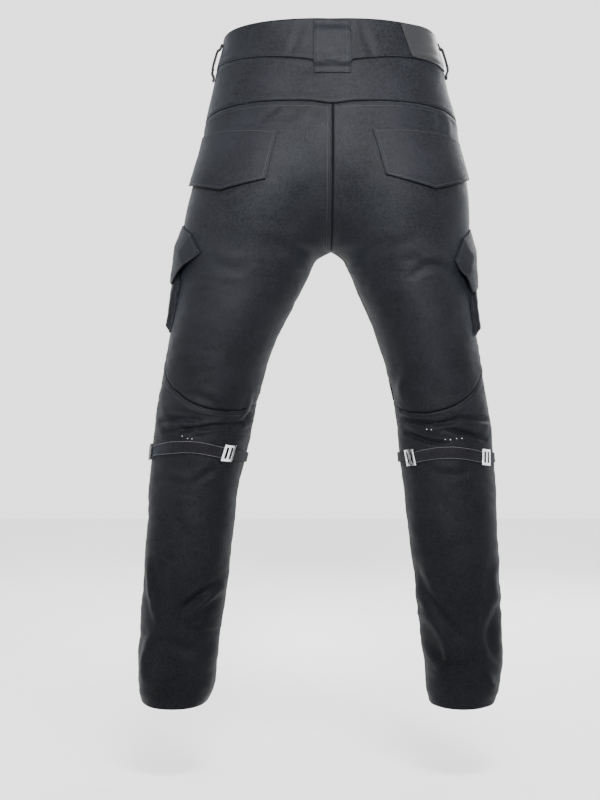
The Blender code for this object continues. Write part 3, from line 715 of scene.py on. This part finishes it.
# Belt loops: folded strips of softshell, tacked down at both ends and standing off for the belt.
BELT_LOOPS = (
    ("back", (27, 111, 28), (-27, 124, 28), (27, 124, -51), (-27, 124, -51), 6.4, 2.0),
    ("side_left", (161, 7.5, 10), (161, 20.5, 10), (174, 9.5, -46), (174, 22.5, -46), 4.2, 3.2),
    ("side_right", (-157, 17.5, 11), (-157, 4.5, 11), (-170, 19.5, -42), (-170, 6.5, -42), 4.2, 3.2),
    ("front_left", (53, -107, 5), (65, -103, 5), (59, -111, -46), (71, -107, -46), 8.2, 1.9),
    ("front_right", (-62, -103, 5), (-50, -107, 5), (-68, -107, -46), (-56, -111, -46), 8.2, 1.9),
)
for word, a, b, c, d, stand_off, thickness in BELT_LOOPS:
    lay_piece(
        f"loop_{word}", f"belt_loop_{word}", ((a, b), (c, d), (a, c), (b, d)),
        lambda t, away, most=stand_off: 0.5 + most * softly((np.minimum(t, 1 - t) - 0.08) / 0.14),
        thickness, (22, 40), "stretched",
        stitched=(line((0.12, 0.02), (0.12, 0.98)), line((0.88, 0.02), (0.88, 0.98)), line((0.05, 0.05), (0.95, 0.05)),
                  line((0.05, 0.95), (0.95, 0.95))),
    )

# The leather patch on the waistband: half-glossy hide, glued and sewn round its border, with nothing on it.
lay_piece(
    "hide_patch", "leather_patch",
    (((-98, 93, 27), (-130, 62, 24), (-153, 30, 19)), ((-115, 94, -22), (-145, 64, -29), (-166, 33, -34)),
     ((-98, 93, 27), (-115, 94, -22)), ((-153, 30, 19), (-166, 33, -34))),
    lambda t, away: 0.5 + 0 * t, 1.8, (34, 30), None, leather, "patch_leather",
    stitched=(line((0.05, 0.05), (0.95, 0.05)), line((0.05, 0.95), (0.95, 0.95)), line((0.05, 0.05), (0.05, 0.95)),
              line((0.95, 0.05), (0.95, 0.95))),
)

# Fly and waistband overlap at the front, lapped left over right, with a tack button.
lay_piece(
    "fly_facing", "fly_placket",
    (((1, -114, -38), (40, -112, -38)), ((1, -106, -206), (22, -110, -198)), ((1, -114, -38), (1, -106, -206)),
     ((40, -112, -38), (38, -116, -170), (22, -110, -198))),
    lambda t, away: 0.3 + 0 * t, 1.2, (16, 50), "laid", stitched=(line((0.92, 0.01), (0.92, 0.97), 60),),
)
lay_piece(
    "lap", "waistband_overlap",
    (((-26, -108, 8), (16, -109, 8)), ((-26, -112, -31), (16, -113, -31)), ((-26, -108, 8), (-26, -112, -31)),
     ((16, -109, 8), (16, -113, -31))),
    lambda t, away: 0.4 + 0 * t, 1.6, (24, 24), "laid", stitched=ROUND,
)

# Knee straps: black ribbed elastic with grey selvedge threads, between webbing tabs that hold steel sliders.
STRAPS = (
    ("left", (266, 15, -598), (159, 55, -598), 9, 31,
     (("outer", (267, -22, -598), (267, 9, -598)), ("inner", (154, 51, -598), (127, -12, -606)))),
    ("right", (-222, 47, -605), (-123, 44, -605), 8, 23,
     (("outer", (-226, 42, -605), (-243, 3, -606)), ("inner", (-104, -14, -605), (-119, 39, -605)))),
)


def strap_edge(start, end, rise, bulge, shift, steps=24):
    """A strap's edge: from end to end behind the knee, arched up in the middle."""
    start, end = np.array(start, float), np.array(end, float)
    edge = []
    for i in range(steps + 1):
        share = i / steps
        place = start + (end - start) * share + (0, bulge * math.sin(math.pi * share), 0)
        edge.append(tuple(place + (0, 0, shift + rise * math.sin(math.pi * share))))
    return tuple(edge)


for word, start, end, rise, bulge, tabs in STRAPS:
    upper, lower = (strap_edge(start, end, rise, bulge, shift) for shift in (8.5, -8.5))
    lay_piece(
        f"strap_{word}", f"knee_elastic_{word}", (upper, lower, (upper[0], lower[0]), (upper[-1], lower[-1])),
        lambda t, away: 0.5 + 0 * t, 1.6, (60, 10), "stretched", elastic, "strap_elastic",
    )
    for tab, a, b in tabs:
        top, bottom = ((x, y, z + 7.5) for x, y, z in (a, b)), ((x, y, z - 7.5) for x, y, z in (a, b))
        top, bottom = tuple(top), tuple(bottom)
        lay_piece(
            f"tab_{tab}_{word}", f"knee_tab_{tab}_{word}",
            (top, bottom, (top[0], bottom[0]), (top[-1], bottom[-1])),
            lambda t, away: 0.5 + 0.8 * softly((np.minimum(away[2], away[3])) / 8), 2.0, (20, 10), "stretched",
            strap_web, "softshell",
            stitched=(line((0.3, 0.12), (0.3, 0.88), 8), line((0.7, 0.12), (0.7, 0.88), 8)),
        )

mesh = bpy.data.meshes.new("laid_stitches")
laid_threads.to_mesh(mesh)
laid_threads.free()
add_piece("laid_stitches", mesh, black_thread, "softshell")

# Selvedge threads of the elastic, the bar tacks behind the knees, in grey and white thread.
selvedge, tacks = bmesh.new(), bmesh.new()
for word, start, end, rise, bulge, tabs in STRAPS:
    for shift in (-8.2, 8.2):
        path = [on_cloth(Vector(place) / 1000) for place in strap_edge(start, end, rise, bulge, shift, 40)]
        path = [spot + normal * 0.0021 for spot, normal in path]
        sew(selvedge, path, pitch=0.0026, length=0.0027, width=0.0005, out=lambda spot: on_cloth(spot)[1])
BAR_TACKS = ((221, -575), (212, -576), (205, -576), (-138, -565), (-145, -565), (-166, -579), (-174, -578),
             (-183, -577), (-192, -578))
for x, z in BAR_TACKS:
    spot, normal = on_cloth(Vector((x, 70, z)) / 1000)
    bmesh.ops.create_icosphere(
        tacks, subdivisions=2, radius=0.0006, matrix=Matrix.Translation(spot + normal * 0.0003)
    )
for name, thread, material in (("selvedge_threads", selvedge, grey_thread), ("bar_tacks", tacks, white_thread)):
    mesh = bpy.data.meshes.new(name)
    thread.to_mesh(mesh)
    thread.free()
    add_piece(name, mesh, material, "strap_elastic")

# Steel sliders and the tack button: pressed metal with rounded edges.
for node, width in [(f"strap_slider_{tab}_{word}", 0.0005) for tab in ("outer", "inner") for word in
                    ("left", "right")] + [("waist_button", 0.0006)]:
    metal = bmesh.new()
    metal.from_mesh(bpy.data.objects[node].data)
    bmesh.ops.remove_doubles(metal, verts=metal.verts, dist=1e-5)
    bmesh.ops.dissolve_limit(metal, angle_limit=math.radians(3), verts=metal.verts, edges=metal.edges)
    corners = [edge for edge in metal.edges if edge.is_manifold and edge.calc_face_angle() > math.radians(45)]
    bmesh.ops.bevel(metal, geom=corners, offset=width, affect="EDGES", segments=3, profile=0.5, material=-1,
                    clamp_overlap=True)
    bmesh.ops.triangulate(metal, faces=[face for face in metal.faces if len(face.verts) > 4])
    mesh = bpy.data.meshes.new(f"metal_{node}")
    metal.to_mesh(mesh)
    metal.free()
    finish = blackened if node == "strap_slider_outer_left" else steel
    add_piece(f"metal_{node}", mesh, finish, "slider_steel", node)

# The studio: a plain pale floor below the hems, a white surround, and soft lights above and to the side.
FLOOR_DROP = 1.08
mesh = bpy.data.meshes.new("floor")
floor_sheet = bmesh.new()
bmesh.ops.create_grid(floor_sheet, x_segments=1, y_segments=1, size=6, matrix=Matrix.Translation((0, 0, -FLOOR_DROP)))
floor_sheet.to_mesh(mesh)
floor_sheet.free()
floor = bpy.data.objects.new("floor", mesh)
bpy.context.scene.collection.objects.link(floor)
mesh.materials.append(plain("floor_paper", (0.82, 0.82, 0.82), 0.9, 0, 3, 0.0001, 0.02))
world = bpy.data.worlds.new("studio")
world.use_nodes = True
world.node_tree.nodes["Background"].inputs["Color"].default_value = (1, 1, 1, 1)
world.node_tree.nodes["Background"].inputs["Strength"].default_value = 2.3
bpy.context.scene.world = world
LIGHT_COLUMNS = ("name", "place", "aim", "size", "power", "spread in degrees")
LIGHTS = (
    ("key", (0.0, 2.9, 0.5), (0.02, 0.1, -0.10), 0.5, 12, 24),
    ("top", (-0.3, 1.8, 2.0), (0, 0.1, -0.3), 0.9, 48, 120),
    ("side", (2.2, 1.6, 0.2), (0.1, 0, -0.5), 1.2, 30, 180),
    ("front", (-1.2, -2.4, 0.8), (0, 0, -0.4), 1.4, 60, 180),
)
for name, place, aim, size, power, spread in LIGHTS:
    lamp = bpy.data.lights.new(name, "AREA")
    lamp.size, lamp.energy, lamp.spread = size, power, math.radians(spread)
    light = bpy.data.objects.new(name, lamp)
    light.location = place
    light.rotation_euler = (Vector(aim) - Vector(place)).to_track_quat("-Z", "Y").to_euler()
    bpy.context.scene.collection.objects.link(light)

# The camera stands level behind the trousers, at the height of the thighs.
view = bpy.data.cameras.new("camera")
view.lens = 84
camera = bpy.data.objects.new("camera", view)
camera.location = (0.0465, 2.8, -0.52)
camera.rotation_euler = (math.radians(90), 0, math.radians(180))
bpy.context.scene.collection.objects.link(camera)
bpy.context.scene.camera = camera
